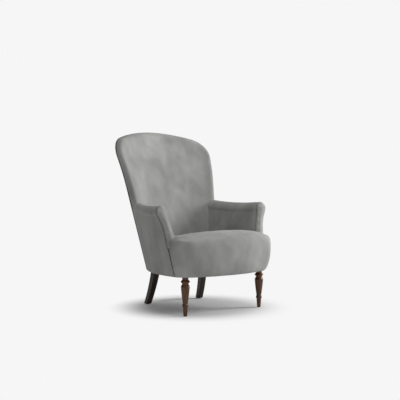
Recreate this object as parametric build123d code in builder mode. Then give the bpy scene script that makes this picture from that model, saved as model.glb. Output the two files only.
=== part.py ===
"""Fireside chair: a tight-upholstered armchair with a hollow, arched back, short scroll arms,
a bow-fronted sprung seat, two turned front legs and two square raked back legs.

Millimetres.  +Z is up, the chair faces -Y, and the origin lies on the floor under the middle of
the chair.  Left and right are named as seen from the front: right is +X.
"""
import os
from math import atan, cos, hypot, sin, sqrt

from build123d import *

os.makedirs("parts", exist_ok=True)

# ---------------------------------------------------------------- driving dimensions
# Fabric, clearances and timber
COVER_T = 2.0             # velvet with its backing and wadding
SOFT_GAP = 0.3            # clearance round every soft piece
LINING_T = 1.0            # woven dust cover and spring felt
RAIL_T = 26.0             # thickness of the beech seat rails
RAIL_H = 80.0             # height of the beech seat rails
RAIL_SET = 8.0            # rails stand this far inside the bottom outline

# Heights
BASE_Z = 218.0            # underside of the beech frame, top of the legs
SEAT_EDGE_Z = 430.0       # where the front band turns over into the seat top
SEAT_CROWN = 28.0         # rise of the seat's crown above that edge
ARM_Z = 607.0             # top of the arm rolls at the front
BACK_TOP_Z = 1023.0       # crown of the arched back

# Plan of the seat at its underside
FRONT_Y = -410.0          # front centre of the underside
FRONT_HALF = 240.0        # half-length of the bowed front
FRONT_BOW = 38.0          # rise of the front bow
FRONT_CORNER_X = 318.0    # half-width where the seat band meets the arm
SIDE_BOW = 31.0           # bow of the side at the underside
SEAT_BULGE = 37.0         # how far the padded front band swells past the underside

# Arms: the guide line of the rolls in plan, and the section that follows it
ARM_FRONT_Y = -208.0      # y at which the guide line starts
ARM_FRONT_X = 352.0       # half-distance between the rolls at the front
ARM_TAPER = 0.1375        # inward slope of the guide line
ARM_CURVE = 0.00026       # inward curvature of the guide line
ROLL_R = 36.0             # radius of the roll at the front
ROLL_SHRINK = 0.017       # loss of radius per millimetre towards the back
ARM_DIP = 8.0             # sag of the arm's top line half way along
INNER_LEAN = 0.28         # outward lean of the inside of the arm
INNER_SET = 71.0          # the inside of the arm, at seat height, lies this far inside the roll
ARM_PAD_T = 24.0          # thickness of the padding inside the arm
ARM_RAIL_Z = 549.0        # underside of the rail inside the roll
ARM_RAIL_W = 30.0
ARM_RAIL_H = 22.0
ARM_POST_W = 28.0         # arm post, across the chair
ARM_POST_D = 34.0         # arm post, front to back
ARM_TACK_Z = 392.0        # underside of the low rail that holds the padding
ARM_TACK_W = 20.0
ARM_TACK_H = 22.0
FACE_Y = -250.0           # arm front at the height of the seat edge
FACE_LEAN = 0.2           # the arm front leans back by this share of its rise
FACING_T = 17.0           # padded facing on the arm front
FACING_ROUND = 7.0        # rounding of its front edge

# Back: rake, flare, bow and thickness
BACK_HALF = 330.0         # half-width over the shoulders
SHOULDER_DROP = 137.0     # the shoulder arcs have their middles this far under the top
SHOULDER_Z = BACK_TOP_Z - SHOULDER_DROP
SHOULDER_R = 105.0        # radius of the shoulder curves
BACK_FLARE = 0.124        # outward slope of the back's sides
BACK_BASE_Y = 84.0        # rear corner of the back at the underside
BACK_RAKE = 0.26          # backward slope of the back posts
BEND_Z = 700.0            # above this height the posts sweep back
BEND = 0.0006             # curvature of that sweep
BACK_BOW = 80.0           # bow of the back from side to side
RIM_T = 60.0              # thickness of the back at its rolled edge
BACK_MID_T = 104.0        # thickness of the back's middle just above the seat
BACK_THIN = 0.09          # loss of that thickness per millimetre of height
RIM_R = 24.0              # rounding of the back's front edge
FRAME_T = 26.0            # thickness of the posts and the crest rail
POST_W = 52.0             # width of the posts and the crest rail
FRAME_SET = 5.0           # the posts stand this far inside the outline
CREST_Z = 838.0           # joint between the posts and the crest rail
WELT_T = 4.0              # piping round the outside back

# Springing
SPRING_WIRE = 3.8         # diameter of the zigzag spring wire
SPRING_PITCH = 75.0       # distance between the springs
SPRING_COUNT = 5
SPRING_BEND_R = 10.0      # radius of the bends
SPRING_RUN = 30.0         # straight run between two bends
WEBBING_W = 50.0          # width of the elastic back webbing
WEBBING_T = 2.0

# Legs
FRONT_LEG_X = 265.0
FRONT_LEG_Y = -322.0
BACK_LEG_X = 173.0        # top of the back leg
BACK_LEG_Y = 100.0
BACK_FOOT_X = 191.0       # foot of the back leg
BACK_FOOT_Y = 162.0
BACK_LEG_TOP = 40.0       # side of the square leg at its top
BACK_LEG_FOOT = 33.0      # side of the square leg at its foot
BACK_LEG_HOLLOW = 7.0     # hollow of the sabre curve
GLIDE_R = 9.0
GLIDE_T = 4.0
GLIDE_PIN_R = 1.5
GLIDE_PIN_L = 12.0
LEG_TOE_R = 10.5          # turned leg: radii and heights of its mouldings
LEG_ANKLE_R = 13.8
LEG_COLLAR_R = 17.4
LEG_COLLAR_Z = 60.5
LEG_COLLAR_HALF = 9.5
LEG_BULB_R = 24.7
LEG_BULB_Z = 159.0
LEG_NECK_R = 18.2
LEG_NECK_Z = 176.0
LEG_RING_R = 26.0
LEG_RING_Z = 192.0
LEG_RING_HALF = 11.0
LEG_TOP_R = 17.4
BLOCK_IN = 30.0           # corner blocks reach this far past the leg's middle
BOLT_R = 4.0              # hanger bolts that hold the legs
BOLT_IN_LEG = 34.0
BOLT_CLEAR = 0.1
INSERT_R = 6.0            # threaded inserts in the corner blocks
INSERT_L = 22.0
INSERT_FLANGE_R = 9.0
INSERT_FLANGE_T = 1.5
DOWEL_R = 4.0
DOWEL_L = 40.0
DOWEL_PITCH = 40.0        # height between the two dowels of a joint
CLIP_W = 18.0             # steel clips that hold the spring ends
CLIP_D = 12.0
CLIP_T = 1.5

# ---------------------------------------------------------------- shared curves
RAIL_TOP = BASE_Z + RAIL_H
HEM_Z = BASE_Z - LINING_T                      # lower edge of the covers
SPRING_Z = RAIL_TOP + SPRING_WIRE              # centre line of the spring wire
FELT_Z = SPRING_Z + SPRING_WIRE / 2 + CLIP_T + SOFT_GAP  # felt over the springs
FOAM_Z = FELT_Z + LINING_T + SOFT_GAP          # underside of the seat foam
FAR = 700.0                                    # beyond the chair in any direction


def face_y(z):
    """y of the leaning plane of the arm fronts at height z."""
    return FACE_Y + FACE_LEAN * (z - SEAT_EDGE_Z)


def guide_x(y):
    """Half-distance between the centres of the two rolls at y."""
    d = y - ARM_FRONT_Y
    return ARM_FRONT_X - ARM_TAPER * d - ARM_CURVE * d * d


def side_x(z):
    """Half-width of the back's rear corner at height z, below the shoulder."""
    tilt = atan(BACK_FLARE)
    touch_x = BACK_HALF - SHOULDER_R + SHOULDER_R * cos(tilt)
    touch_z = SHOULDER_Z - SHOULDER_R * sin(tilt)
    return touch_x + BACK_FLARE * (z - touch_z)


def corner_y(z):
    """y of the back's rear corner at height z: a straight rake, then a sweep."""
    sweep = max(0.0, z - BEND_Z)
    return BACK_BASE_Y + BACK_RAKE * (z - BASE_Z) + BEND * sweep * sweep


def mid_thickness(z):
    """Thickness of the back in its middle."""
    return BACK_MID_T - BACK_THIN * (z - SEAT_EDGE_Z)


def bow_y(x, chord, bow):
    """Distance from the crown of a circular bow at x; the bow rises `bow` over `chord`."""
    radius = (chord * chord + bow * bow) / (2 * bow)
    return radius - sqrt(radius * radius - x * x)


def rear_y(x, z):
    """Outside surface of the back."""
    return corner_y(z) + BACK_BOW - bow_y(x, side_x(z), BACK_BOW)


def hollow_y(x, z):
    """Inside surface of the back, hollow from side to side."""
    depth = BACK_BOW + RIM_T - mid_thickness(z)
    return corner_y(z) + BACK_BOW - mid_thickness(z) - bow_y(x, side_x(z), depth)


def panel_x(z):
    """Half-width of the outside arm at its front seam, flaring up to the roll."""
    rise = z - BASE_Z
    return FRONT_CORNER_X + 0.135 * rise + 0.0003 * max(0.0, rise - 150.0) ** 2


def seat_profile():
    """Swell of the front band and the turn-over of the seat top, as (swell, height)."""
    edge = SEAT_EDGE_Z
    rise = edge - HEM_Z
    return [
        (0.0, HEM_Z),
        (0.55 * SEAT_BULGE, HEM_Z + 0.13 * rise),
        (0.86 * SEAT_BULGE, HEM_Z + 0.33 * rise),
        (1.00 * SEAT_BULGE, HEM_Z + 0.58 * rise),
        (0.93 * SEAT_BULGE, HEM_Z + 0.82 * rise),
        (0.62 * SEAT_BULGE, edge - 0.30 * SEAT_CROWN),
        (0.14 * SEAT_BULGE, edge + 0.16 * SEAT_CROWN),
        (-0.55 * SEAT_BULGE, edge + 0.50 * SEAT_CROWN),
        (-1.35 * SEAT_BULGE, edge + 0.80 * SEAT_CROWN),
        (-2.20 * SEAT_BULGE, edge + 1.00 * SEAT_CROWN),
    ]


def shrink(profile, inset):
    """The profile moved inwards, square to its own direction, by `inset`."""
    moved = []
    last = len(profile) - 1
    for i, (swell, z) in enumerate(profile):
        before = profile[max(0, i - 1)]
        after = profile[min(last, i + 1)]
        run = hypot(after[0] - before[0], after[1] - before[1])
        moved.append((swell - inset * (after[1] - before[1]) / run,
                      z + inset * (after[0] - before[0]) / run))
    return moved


# ---------------------------------------------------------------- solids that others are cut from
def back_layer(near, far):
    """A layer of the raked, bowed back between two surfaces, each given as y of (x, z)."""
    with BuildPart() as slab:
        for z in (200, 330, 460, 590, 700, 790, 880, 970, 1060):
            x = side_x(z) + 12
            with BuildSketch(Plane.XY.offset(z)):
                with BuildLine():
                    rear = ThreePointArc((-x, far(x, z)), (0, far(0, z)), (x, far(x, z)))
                    front = ThreePointArc((x, near(x, z)), (0, near(0, z)), (-x, near(x, z)))
                    Line(rear @ 1, front @ 0)
                    Line(front @ 1, rear @ 0)
                make_face()
        loft()
    return slab.part


def behind(surface, inset):
    """Surface function for `surface` moved forwards by `inset`."""
    return lambda x, z: surface(x, z) - inset


def outline_prism(inset, bottom):
    """Front outline of the back, flared sides, round shoulders and low arch, run through in y."""
    tilt = atan(BACK_FLARE)
    reach = BACK_HALF - SHOULDER_R
    rise = BACK_TOP_Z - SHOULDER_Z
    crown_r = (reach**2 + rise**2 - SHOULDER_R**2) / (2 * (rise - SHOULDER_R))
    crown_z = BACK_TOP_Z - crown_r
    turn = hypot(reach, SHOULDER_Z - crown_z)
    small = SHOULDER_R - inset
    touch = (reach + small * cos(tilt), SHOULDER_Z - small * sin(tilt))
    middle = atan((SHOULDER_Z - crown_z) / reach) / 2
    round_mid = (reach + small * cos(middle), SHOULDER_Z + small * sin(middle))
    join = (reach + small * reach / turn, SHOULDER_Z + small * (SHOULDER_Z - crown_z) / turn)
    foot = (touch[0] - BACK_FLARE * (touch[1] - bottom), bottom)
    with BuildPart() as prism:
        with BuildSketch(Plane.XZ.offset(-FAR)):
            with BuildLine():
                Line((-foot[0], foot[1]), foot)
                Line(foot, touch)
                ThreePointArc(touch, round_mid, join)
                ThreePointArc(join, (0, BACK_TOP_Z - inset), (-join[0], join[1]))
                ThreePointArc((-join[0], join[1]), (-round_mid[0], round_mid[1]),
                              (-touch[0], touch[1]))
                Line((-touch[0], touch[1]), (-foot[0], foot[1]))
            make_face()
        extrude(amount=2 * FAR)
    return prism.part


def base_sketch(inset):
    """Outline of the chair's underside: bowed front, round corners, bowed sides and back."""
    crown = FRONT_Y + inset
    bow_end = (FRONT_HALF, FRONT_Y + FRONT_BOW + inset)
    face = (FRONT_CORNER_X - inset, face_y(BASE_Z))
    corner = (side_x(BASE_Z) - inset, BACK_BASE_Y - inset)
    middle = ((face[0] + corner[0]) / 2 + SIDE_BOW, (face[1] + corner[1]) / 2 + SIDE_BOW / 4)
    rear = BACK_BASE_Y + BACK_BOW - inset
    with BuildSketch() as base:
        with BuildLine():
            bow = ThreePointArc((-bow_end[0], bow_end[1]), (0, crown), bow_end)
            turn = TangentArc(bow @ 1, face, tangent=bow % 1)
            side = ThreePointArc(turn @ 1, middle, corner)
            back = ThreePointArc(side @ 1, (0, rear), (-corner[0], corner[1]))
            left = ThreePointArc(back @ 1, (-middle[0], middle[1]), (-face[0], face[1]))
            TangentArc(bow @ 0, left @ 1, tangent=-(bow % 0))
        make_face()
    return base.sketch


def seat_loft(inset, bottom):
    """The whole seat, front band and crown, as if no arm or back stood on it."""
    levels = shrink(seat_profile(), inset)
    with BuildPart() as seat:
        for swell, z in levels:
            z = bottom if z == levels[0][1] else z
            side = FRONT_CORNER_X + 0.55 * swell
            bow_end = (FRONT_HALF + 0.5 * swell, FRONT_Y + FRONT_BOW - 0.95 * swell)
            with BuildSketch(Plane.XY.offset(z)):
                with BuildLine():
                    bow = ThreePointArc((-bow_end[0], bow_end[1]), (0, FRONT_Y - swell), bow_end)
                    turn = TangentArc(bow @ 1, (side, face_y(BASE_Z)), tangent=bow % 1)
                    left = TangentArc(bow @ 0, (-side, face_y(BASE_Z)), tangent=-(bow % 0))
                    Polyline(turn @ 1, (side, 200), (-side, 200), left @ 1)
                make_face()
        loft()
    return seat.part


ARM_STATIONS = (-330, -250, -170, -90, -10, 70, 140, 210)


def arm_section(y):
    """Points of the arm's section at y: inner foot, inner shoulder, roll and tuck."""
    along = (y - ARM_FRONT_Y) / 350.0
    radius = ROLL_R - ROLL_SHRINK * (y - ARM_FRONT_Y)
    top = ARM_Z - ARM_DIP * sin(3.1416 * min(1.0, max(0.0, along))) + 4 * max(0.0, along) ** 2
    x = guide_x(y)
    shoulder_z = top - 52.0
    return x, top, radius, shoulder_z


def inner_x(y, z):
    """Inside face of the arm."""
    return guide_x(y) - INNER_SET + INNER_LEAN * (z - SEAT_EDGE_Z - 15.0)


def arm_loft(inset, open_side, foot):
    """Right arm: the inside padding and the roll, hooked over the arm rail.

    `inset` thins it from its outer surface; `open_side` moves its hidden side outwards."""
    with BuildPart() as arm:
        for y in ARM_STATIONS:
            x, top, radius, shoulder_z = arm_section(y)
            small = radius - inset
            centre_z = top - radius
            with BuildSketch(Plane.XZ.offset(-y)):
                with BuildLine():
                    shoulder = (inner_x(y, shoulder_z) + inset, shoulder_z)
                    low = (inner_x(y, foot) + inset, foot)
                    Line(low, shoulder)
                    ThreePointArc(shoulder, (x - 0.76 * small, centre_z + 0.62 * small),
                                  (x, top - inset))
                    ThreePointArc((x, top - inset),
                                  (x + small * cos(0.48), centre_z + small * sin(0.48)),
                                  (x + small * cos(0.61), centre_z - small * sin(0.61)))
                    under_z = centre_z - small * sin(0.61)
                    pad_x = inner_x(y, under_z) + ARM_PAD_T + open_side
                    low_x = inner_x(y, foot) + ARM_PAD_T + open_side
                    Polyline((x + small * cos(0.61), under_z), (pad_x, under_z), (low_x, foot), low)
                make_face()
        loft()
    return arm.part


def arm_block(grow):
    """All the room that the right arm takes, from its inside and roll top outwards."""
    with BuildPart() as block:
        for y in ARM_STATIONS:
            x, top, radius, shoulder_z = arm_section(y)
            with BuildSketch(Plane.XZ.offset(-y)):
                with BuildLine():
                    shoulder = (inner_x(y, shoulder_z) - grow, shoulder_z)
                    low = (inner_x(y, 150) - grow, 150)
                    big = radius + grow
                    Line(low, shoulder)
                    ThreePointArc(shoulder, (x - 0.76 * big, top - radius + 0.62 * big),
                                  (x, top + grow))
                    Polyline((x, top + grow), (FAR, top + grow), (FAR, 150), low)
                make_face()
        loft()
    return block.part


def band_at(offset, thickness, bottom, height):
    """A bandsawn rail that follows the right arm's guide line in plan."""
    ends = []
    for y in (-300, -60, 200):
        ends.append((guide_x(y) + offset, y))
    far = [(x + thickness, y) for x, y in ends]
    with BuildPart() as band:
        with BuildSketch(Plane.XY.offset(bottom)):
            with BuildLine():
                inner = ThreePointArc(*ends)
                outer = ThreePointArc(*reversed(far))
                Line(inner @ 1, outer @ 0)
                Line(outer @ 1, inner @ 0)
            make_face()
        extrude(amount=height)
    return band.part


ARM_FRONT = Plane(origin=(0, FACE_Y, SEAT_EDGE_Z), x_dir=(1, 0, 0), z_dir=(0, -1, FACE_LEAN))


def slab_between(low, high):
    """A wide block between two heights, for trimming."""
    with BuildPart() as block:
        with BuildSketch(Plane.XY.offset(low)):
            Rectangle(2 * FAR, 2 * FAR)
        extrude(amount=high - low)
    return block.part


behind_back = back_layer(behind(rear_y, COVER_T + SOFT_GAP), behind(rear_y, -FAR))
front_to_far = back_layer(behind(hollow_y, SOFT_GAP), behind(rear_y, -FAR))
right_block = arm_block(SOFT_GAP)
with BuildPart() as both_blocks:
    add(right_block)
    split(bisect_by=ARM_FRONT, keep=Keep.BOTTOM)
    mirror(about=Plane.YZ)


# ---------------------------------------------------------------- back
def back_body(inset, bottom, rear):
    """The upholstered back: hollow front, outline, and a rolled front edge."""
    with BuildPart() as body:
        add(back_layer(behind(hollow_y, -inset), rear))
        add(outline_prism(inset, bottom), mode=Mode.INTERSECT)
        hollow = body.faces().filter_by(lambda f: f.normal_at().Y < -0.7).sort_by(SortBy.AREA)[-1]
        rim = [e for e in hollow.edges() if e.center().Z > bottom + 1]
        fillet(rim, RIM_R - inset)
    return body.part


BACK_FOOT_Z = 330.0       # the inside back goes down behind the seat to here
frame_rear = behind(rear_y, COVER_T + SOFT_GAP)
frame_front = behind(rear_y, COVER_T + SOFT_GAP + FRAME_T)
webbing_front = behind(rear_y, COVER_T + SOFT_GAP + FRAME_T + WEBBING_T)
foam_rear = behind(rear_y, COVER_T + 2 * SOFT_GAP + FRAME_T + WEBBING_T)

with BuildPart() as inside_back_cover:
    add(back_body(0, BACK_FOOT_Z, frame_rear))
    add(back_body(COVER_T, BACK_FOOT_Z - 20, behind(rear_y, -20)), mode=Mode.SUBTRACT)
    add(both_blocks.part, mode=Mode.SUBTRACT)
inside_back_cover.part.label = "inside_back_cover"
export_step(inside_back_cover.part, "parts/inside_back_cover.step")

with BuildPart() as back_foam:
    add(back_body(COVER_T + SOFT_GAP, BACK_FOOT_Z, frame_rear))
    add(back_layer(foam_rear, behind(rear_y, -FAR)), mode=Mode.SUBTRACT)
    add(both_blocks.part, mode=Mode.SUBTRACT)
back_foam.part.label = "back_foam"
export_step(back_foam.part, "parts/back_foam.step")

with BuildPart() as outside_back_cover:
    add(back_layer(behind(rear_y, COVER_T), rear_y))
    add(outline_prism(0, HEM_Z), mode=Mode.INTERSECT)
outside_back_cover.part.label = "outside_back_cover"
export_step(outside_back_cover.part, "parts/outside_back_cover.step")

with BuildPart() as back_welt:
    add(back_layer(rear_y, behind(rear_y, -WELT_T)))
    add(outline_prism(0, HEM_Z), mode=Mode.INTERSECT)
    add(outline_prism(WELT_T, HEM_Z - WELT_T), mode=Mode.SUBTRACT)
back_welt.part.label = "back_welt"
export_step(back_welt.part, "parts/back_welt.step")

# Timber of the back: two posts and an arched crest rail, bandsawn to the rake and the bow.
frame_layer = back_layer(frame_front, frame_rear)
with BuildPart() as back_ring:
    add(frame_layer)
    add(outline_prism(FRAME_SET, RAIL_TOP), mode=Mode.INTERSECT)
    add(outline_prism(FRAME_SET + POST_W, RAIL_TOP - POST_W), mode=Mode.SUBTRACT)

dowel_x = side_x(CREST_Z) - FRAME_SET - POST_W / 2
dowel_y = (frame_front(dowel_x, CREST_Z) + frame_rear(dowel_x, CREST_Z)) / 2
crest_lean = (corner_y(CREST_Z + DOWEL_L / 2) - corner_y(CREST_Z - DOWEL_L / 2)) / DOWEL_L
crest_way = (0, crest_lean, 1)
crest_dowels = [(side * dowel_x, dowel_y - crest_lean * DOWEL_L / 2, CREST_Z - DOWEL_L / 2)
                for side in (-1, 1)]


def pegs(ends, direction, radius, length):
    """Round pegs that start at the given points and run along `direction`."""
    with BuildPart() as group:
        for end in ends:
            with BuildSketch(Plane(origin=end, z_dir=direction)):
                Circle(radius)
            extrude(amount=length)
    return group.part


crest_holes = pegs(crest_dowels, crest_way, DOWEL_R + BOLT_CLEAR, DOWEL_L)
back_posts = {}
for side, name in ((-1, "left"), (1, "right")):
    with BuildPart() as post:
        add(back_ring.part)
        add(slab_between(RAIL_TOP, CREST_Z), mode=Mode.INTERSECT)
        split(bisect_by=Plane.YZ, keep=Keep.TOP if side > 0 else Keep.BOTTOM)
        add(crest_holes, mode=Mode.SUBTRACT)
    back_posts[name] = post.part
    post.part.label = name + "_back_post"
    export_step(post.part, "parts/" + name + "_back_post.step")

with BuildPart() as crest_rail:
    add(back_ring.part)
    add(slab_between(CREST_Z, BACK_TOP_Z), mode=Mode.INTERSECT)
    add(crest_holes, mode=Mode.SUBTRACT)
crest_rail.part.label = "crest_rail"
export_step(crest_rail.part, "parts/crest_rail.step")

with BuildPart() as back_tack_rail:
    add(frame_layer)
    add(outline_prism(FRAME_SET + POST_W, BACK_FOOT_Z), mode=Mode.INTERSECT)
    add(slab_between(BACK_FOOT_Z, BACK_FOOT_Z + POST_W), mode=Mode.INTERSECT)
back_tack_rail.part.label = "back_tack_rail"
export_step(back_tack_rail.part, "parts/back_tack_rail.step")

# Elastic webbing stretched from post to post in front of the timber.
strap_heights = [BACK_FOOT_Z + POST_W + 1.8 * WEBBING_W * (i + 0.6) for i in range(5)]
with BuildPart() as back_webbing:
    for height in strap_heights:
        add(slab_between(height - WEBBING_W / 2, height + WEBBING_W / 2))
    add(back_layer(webbing_front, frame_front), mode=Mode.INTERSECT)
    add(outline_prism(FRAME_SET + POST_W / 4, BACK_FOOT_Z), mode=Mode.INTERSECT)
back_webbing.part.label = "back_webbing"
export_step(back_webbing.part, "parts/back_webbing.step")


# ---------------------------------------------------------------- seat frame
def front_edge(x):
    """y of the bowed front of the underside."""
    return FRONT_Y + bow_y(x, FRONT_HALF, FRONT_BOW)


front_block_x = FRONT_LEG_X - BLOCK_IN          # joint of the front rail
front_block_y = FRONT_LEG_Y + BLOCK_IN          # joint of the side rail, at its front
back_block_x = BACK_LEG_X - BLOCK_IN            # joint of the back rail
back_block_y = BACK_LEG_Y - BLOCK_IN - RAIL_T   # joint of the side rail, at its back
rail_set = RAIL_SET + RAIL_T / 2                # middle of a rail inside the outline
legs = ((FRONT_LEG_X, FRONT_LEG_Y), (-FRONT_LEG_X, FRONT_LEG_Y),
        (BACK_LEG_X, BACK_LEG_Y), (-BACK_LEG_X, BACK_LEG_Y))

with BuildPart() as seat_ring:
    with BuildSketch(Plane.XY.offset(BASE_Z)):
        add(base_sketch(RAIL_SET))
        add(base_sketch(RAIL_SET + RAIL_T), mode=Mode.SUBTRACT)
    extrude(amount=RAIL_H)

with BuildPart() as seat_plate:
    with BuildSketch(Plane.XY.offset(BASE_Z)):
        add(base_sketch(RAIL_SET))
    extrude(amount=RAIL_H)


def side_rail_x(y):
    """x of the middle of the side rail at y, measured on the rail itself."""
    cut = seat_ring.part & Box(FAR, 1, FAR).moved(Location((FAR / 2, y, BASE_Z)))
    return cut.solids().sort_by(Axis.X)[-1].center().X


rise_pair = [BASE_Z + (RAIL_H - DOWEL_PITCH) / 2, BASE_Z + (RAIL_H + DOWEL_PITCH) / 2]
across = []
along = []
for z in rise_pair:
    for side in (-1, 1):
        y = front_edge(front_block_x) + rail_set
        across.append((side * front_block_x - DOWEL_L / 2, y, z))
        y = rear_y(back_block_x, BASE_Z) - rail_set
        across.append((side * back_block_x - DOWEL_L / 2, y, z))
        along.append((side * side_rail_x(front_block_y), front_block_y - DOWEL_L / 2, z))
        along.append((side * side_rail_x(back_block_y), back_block_y - DOWEL_L / 2, z))
with BuildPart() as frame_dowels:
    add(pegs(across, (1, 0, 0), DOWEL_R, DOWEL_L))
    add(pegs(along, (0, 1, 0), DOWEL_R, DOWEL_L))
    add(pegs(crest_dowels, crest_way, DOWEL_R, DOWEL_L))
frame_dowels.part.label = "frame_dowels"
export_step(frame_dowels.part, "parts/frame_dowels.step")

with BuildPart() as base_holes:
    add(pegs(across, (1, 0, 0), DOWEL_R + BOLT_CLEAR, DOWEL_L))
    add(pegs(along, (0, 1, 0), DOWEL_R + BOLT_CLEAR, DOWEL_L))
    for x, y in legs:
        add(pegs([(x, y, BASE_Z)], (0, 0, 1), INSERT_R + BOLT_CLEAR, INSERT_L + BOLT_CLEAR))
        add(pegs([(x, y, BASE_Z)], (0, 0, 1), INSERT_FLANGE_R + BOLT_CLEAR, INSERT_FLANGE_T))


def cut_box(x_low, x_high, y_low, y_high):
    """A trimming block between two x and two y, over the height of the rails."""
    with BuildPart() as block:
        with BuildSketch(Plane.XY.offset(BASE_Z)):
            with Locations(((x_low + x_high) / 2, (y_low + y_high) / 2)):
                Rectangle(x_high - x_low, y_high - y_low)
        extrude(amount=RAIL_H)
    return block.part


with BuildPart() as front_rail:
    add(seat_ring.part)
    add(cut_box(-front_block_x, front_block_x, -FAR, 0), mode=Mode.INTERSECT)
    add(base_holes.part, mode=Mode.SUBTRACT)
front_rail.part.label = "front_rail"
export_step(front_rail.part, "parts/front_rail.step")

with BuildPart() as back_rail:
    add(seat_ring.part)
    add(cut_box(-back_block_x, back_block_x, 0, FAR), mode=Mode.INTERSECT)
    add(base_holes.part, mode=Mode.SUBTRACT)
back_rail.part.label = "back_rail"
export_step(back_rail.part, "parts/back_rail.step")

for side, name in ((-1, "left"), (1, "right")):
    with BuildPart() as side_rail:
        add(seat_ring.part)
        add(cut_box(-FAR, FAR, front_block_y, back_block_y), mode=Mode.INTERSECT)
        split(bisect_by=Plane.YZ, keep=Keep.TOP if side > 0 else Keep.BOTTOM)
        add(base_holes.part, mode=Mode.SUBTRACT)
    side_rail.part.label = name + "_side_rail"
    export_step(side_rail.part, "parts/" + name + "_side_rail.step")

with BuildPart() as front_corner_blocks:
    add(seat_plate.part)
    add(cut_box(-FAR, FAR, -FAR, front_block_y), mode=Mode.INTERSECT)
    add(cut_box(-front_block_x, front_block_x, -FAR, 0), mode=Mode.SUBTRACT)
    add(base_holes.part, mode=Mode.SUBTRACT)
front_corner_blocks.part.label = "front_corner_blocks"
export_step(front_corner_blocks.part, "parts/front_corner_blocks.step")

with BuildPart() as back_corner_blocks:
    add(seat_plate.part)
    add(cut_box(-FAR, FAR, back_block_y, FAR), mode=Mode.INTERSECT)
    add(cut_box(-back_block_x, back_block_x, 0, FAR), mode=Mode.SUBTRACT)
    add(base_holes.part, mode=Mode.SUBTRACT)
back_corner_blocks.part.label = "back_corner_blocks"
export_step(back_corner_blocks.part, "parts/back_corner_blocks.step")

# ---------------------------------------------------------------- seat springing and padding
spring_rows = [SPRING_PITCH * (i - (SPRING_COUNT - 1) / 2) for i in range(SPRING_COUNT)]
clip_places = []
with BuildPart() as seat_springs:
    for x in spring_rows:
        back_end = rear_y(x, BASE_Z) - rail_set
        front_end = front_edge(x) + rail_set
        bends = int((back_end - front_end) // (2 * SPRING_BEND_R))
        spare = back_end - front_end - bends * 2 * SPRING_BEND_R
        y = back_end - spare / 2
        clip_places.append((x, y))
        start = (x - SPRING_RUN / 2, y, SPRING_Z)
        with BuildLine(Plane.XY.offset(SPRING_Z)) as wire:
            way = 1
            for bend in range(bends + 1):
                left = (x - way * SPRING_RUN / 2, y)
                right = (x + way * SPRING_RUN / 2, y)
                Line(left, right)
                if bend < bends:
                    bulge = (right[0] + way * SPRING_BEND_R, y - SPRING_BEND_R)
                    ThreePointArc(right, bulge, (right[0], y - 2 * SPRING_BEND_R))
                    y -= 2 * SPRING_BEND_R
                way = -way
        with BuildSketch(Plane(origin=start, z_dir=(1, 0, 0))):
            Circle(SPRING_WIRE / 2)
        sweep(path=wire.wires()[0])
        clip_places.append((x, y))
seat_springs.part.label = "seat_springs"
export_step(seat_springs.part, "parts/seat_springs.step")

with BuildPart() as spring_clips:
    with BuildSketch(Plane.XY.offset(RAIL_TOP)):
        with Locations(*clip_places):
            Rectangle(CLIP_W, CLIP_D)
    extrude(amount=SPRING_Z + SPRING_WIRE / 2 + CLIP_T - RAIL_TOP)
    add(pegs([(x - CLIP_W, y, SPRING_Z) for x, y in clip_places], (1, 0, 0),
             SPRING_WIRE / 2 + BOLT_CLEAR, 2 * CLIP_W), mode=Mode.SUBTRACT)
spring_clips.part.label = "spring_clips"
export_step(spring_clips.part, "parts/spring_clips.step")

with BuildPart() as spring_felt:
    with BuildSketch(Plane.XY.offset(FELT_Z)):
        add(base_sketch(RAIL_SET))
    extrude(amount=LINING_T)
    add(both_blocks.part, mode=Mode.SUBTRACT)
    add(back_layer(behind(rear_y, 2 * RAIL_SET), behind(rear_y, -FAR)), mode=Mode.SUBTRACT)
spring_felt.part.label = "spring_felt"
export_step(spring_felt.part, "parts/spring_felt.step")

with BuildPart() as seat_void:
    with BuildSketch(Plane.XY.offset(HEM_Z - RAIL_H)):
        add(base_sketch(RAIL_SET - SOFT_GAP))
    extrude(amount=FOAM_Z - HEM_Z + RAIL_H)

with BuildPart() as seat_foam:
    add(seat_loft(COVER_T + SOFT_GAP, BASE_Z))
    add(seat_void.part, mode=Mode.SUBTRACT)
    add(both_blocks.part, mode=Mode.SUBTRACT)
    add(front_to_far, mode=Mode.SUBTRACT)
seat_foam.part.label = "seat_foam"
export_step(seat_foam.part, "parts/seat_foam.step")

with BuildPart() as seat_cover:
    add(seat_loft(0, HEM_Z))
    add(seat_loft(COVER_T, HEM_Z), mode=Mode.SUBTRACT)
    add(both_blocks.part, mode=Mode.SUBTRACT)
    add(front_to_far, mode=Mode.SUBTRACT)
seat_cover.part.label = "seat_cover"
export_step(seat_cover.part, "parts/seat_cover.step")

with BuildPart() as dust_cover:
    with BuildSketch(Plane.XY.offset(HEM_Z)):
        add(base_sketch(2 * COVER_T))
        with Locations(*legs[:2]):
            Circle(LEG_TOP_R + 1, mode=Mode.SUBTRACT)
        with Locations(*legs[2:]):
            Rectangle(BACK_LEG_TOP + 2, BACK_LEG_TOP + 2, mode=Mode.SUBTRACT)
    extrude(amount=LINING_T)
dust_cover.part.label = "dust_cover"
export_step(dust_cover.part, "parts/dust_cover.step")

# ---------------------------------------------------------------- arms
under_seat = seat_loft(-SOFT_GAP, HEM_Z)
arm_front_in = ARM_FRONT.offset(-SOFT_GAP)
behind_webbing = back_layer(behind(webbing_front, SOFT_GAP), behind(rear_y, -FAR))

with BuildPart() as arm_rail:
    add(band_at(-ARM_RAIL_W / 2, ARM_RAIL_W, ARM_RAIL_Z, ARM_RAIL_H))
    split(bisect_by=arm_front_in, keep=Keep.BOTTOM)
    add(behind_webbing, mode=Mode.SUBTRACT)

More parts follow.
